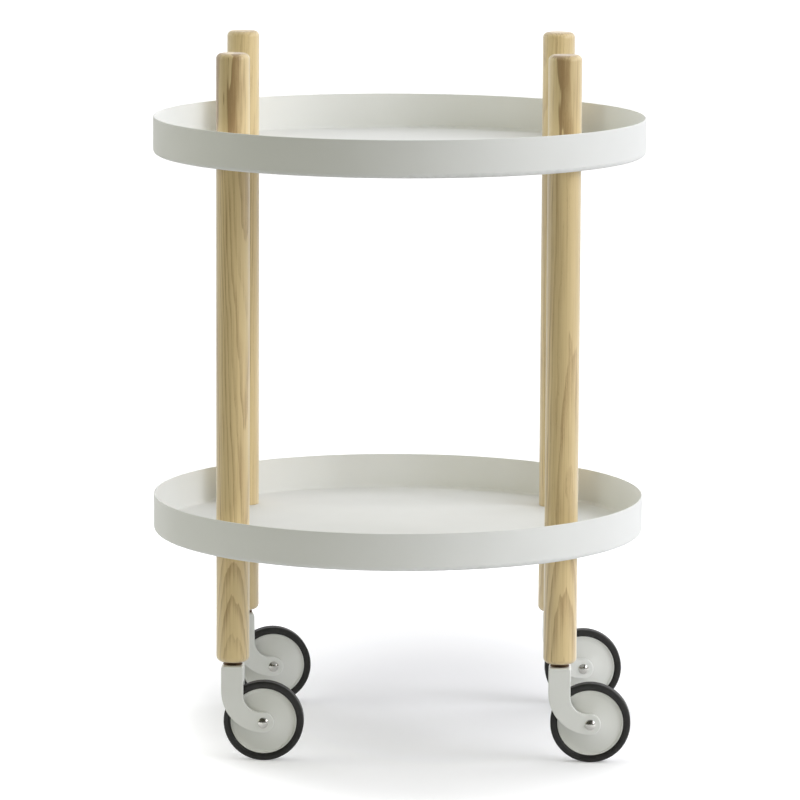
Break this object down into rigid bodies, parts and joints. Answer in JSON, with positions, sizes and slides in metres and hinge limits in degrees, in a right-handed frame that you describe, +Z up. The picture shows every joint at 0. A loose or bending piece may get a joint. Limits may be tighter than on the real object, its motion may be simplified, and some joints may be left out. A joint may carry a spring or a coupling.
{
  "type": "rolling table",
  "caption": "Round two-tier rolling table: white pressed steel trays on turned ash posts that rise past the upper tray as knobs, standing on white swivel casters with black tyres.",
  "frame": {"origin": "on the floor under the middle of the trays", "axes": "+Z up, +X the way the casters trail at rest, +Y from the front towards the back"},
  "size_m": [0.45, 0.45, 0.6394],
  "materials": {
    "tray_paint": "white satin powder coat",
    "ash": "clear matt lacquer on pale ash",
    "caster_paint": "white satin enamel",
    "wheel_plastic": "white satin moulding",
    "tyre_rubber": "matt black rubber",
    "axle_chrome": "polished nickel plate",
    "plated_steel": "dull zinc plate",
    "nylon": "natural nylon"
  },
  "bodies": {
    "frame": {"upper_tray": "tray_paint", "lower_tray": "tray_paint", "knob_front_left": "ash", "column_front_left": "ash", "foot_front_left": "ash", "stem_front_left": "plated_steel", "retaining_clip_front_left": "plated_steel", "knob_front_right": "ash", "column_front_right": "ash", "foot_front_right": "ash", "stem_front_right": "plated_steel", "retaining_clip_front_right": "plated_steel", "knob_rear_right": "ash", "column_rear_right": "ash", "foot_rear_right": "ash", "stem_rear_right": "plated_steel", "retaining_clip_rear_right": "plated_steel", "knob_rear_left": "ash", "column_rear_left": "ash", "foot_rear_left": "ash", "stem_rear_left": "plated_steel", "retaining_clip_rear_left": "plated_steel", "upper_hanger_bolts": "plated_steel", "lower_hanger_bolts": "plated_steel", "column_inserts": "plated_steel", "foot_inserts": "plated_steel"},
    "caster_front_left": {"fork_front_left": "caster_paint", "swivel_bush_front_left": "nylon", "thrust_washer_front_left": "plated_steel", "axle_barrel_front_left": "axle_chrome", "axle_screw_front_left": "axle_chrome"},
    "wheel_front_left": {"wheel_front_left": "wheel_plastic", "wheel_bush_front_left": "nylon", "tyre_front_left": "tyre_rubber"},
    "caster_front_right": {"fork_front_right": "caster_paint", "swivel_bush_front_right": "nylon", "thrust_washer_front_right": "plated_steel", "axle_barrel_front_right": "axle_chrome", "axle_screw_front_right": "axle_chrome"},
    "wheel_front_right": {"wheel_front_right": "wheel_plastic", "wheel_bush_front_right": "nylon", "tyre_front_right": "tyre_rubber"},
    "caster_rear_right": {"fork_rear_right": "caster_paint", "swivel_bush_rear_right": "nylon", "thrust_washer_rear_right": "plated_steel", "axle_barrel_rear_right": "axle_chrome", "axle_screw_rear_right": "axle_chrome"},
    "wheel_rear_right": {"wheel_rear_right": "wheel_plastic", "wheel_bush_rear_right": "nylon", "tyre_rear_right": "tyre_rubber"},
    "caster_rear_left": {"fork_rear_left": "caster_paint", "swivel_bush_rear_left": "nylon", "thrust_washer_rear_left": "plated_steel", "axle_barrel_rear_left": "axle_chrome", "axle_screw_rear_left": "axle_chrome"},
    "wheel_rear_left": {"wheel_rear_left": "wheel_plastic", "wheel_bush_rear_left": "nylon", "tyre_rear_left": "tyre_rubber"}
  },
  "joints": [
    {"name": "swivel_front_left", "type": "hinge", "parent": "frame", "child": "caster_front_left", "pos_m": [-0.14746, -0.12683, 0.08], "axis": [0, 0, 1], "continuous": true},
    {"name": "roll_front_left", "type": "hinge", "parent": "caster_front_left", "child": "wheel_front_left", "pos_m": [-0.11946, -0.12732, 0.0362], "axis": [0.0175, 0.9998, 0], "continuous": true},
    {"name": "swivel_front_right", "type": "hinge", "parent": "frame", "child": "caster_front_right", "pos_m": [0.14746, -0.12683, 0.08], "axis": [0, 0, 1], "continuous": true},
    {"name": "roll_front_right", "type": "hinge", "parent": "caster_front_right", "child": "wheel_front_right", "pos_m": [0.17544, -0.12781, 0.0362], "axis": [0.0349, 0.9994, 0], "continuous": true},
    {"name": "swivel_rear_right", "type": "hinge", "parent": "frame", "child": "caster_rear_right", "pos_m": [0.14746, 0.12683, 0.08], "axis": [0, 0, 1], "continuous": true},
    {"name": "roll_rear_right", "type": "hinge", "parent": "caster_rear_right", "child": "wheel_rear_right", "pos_m": [0.17545, 0.12757, 0.0362], "axis": [-0.0262, 0.9997, 0], "continuous": true},
    {"name": "swivel_rear_left", "type": "hinge", "parent": "frame", "child": "caster_rear_left", "pos_m": [-0.14746, 0.12683, 0.08], "axis": [0, 0, 1], "continuous": true},
    {"name": "roll_rear_left", "type": "hinge", "parent": "caster_rear_left", "child": "wheel_rear_left", "pos_m": [-0.11967, 0.13025, 0.0362], "axis": [-0.1219, 0.9925, 0], "continuous": true}
  ]
}
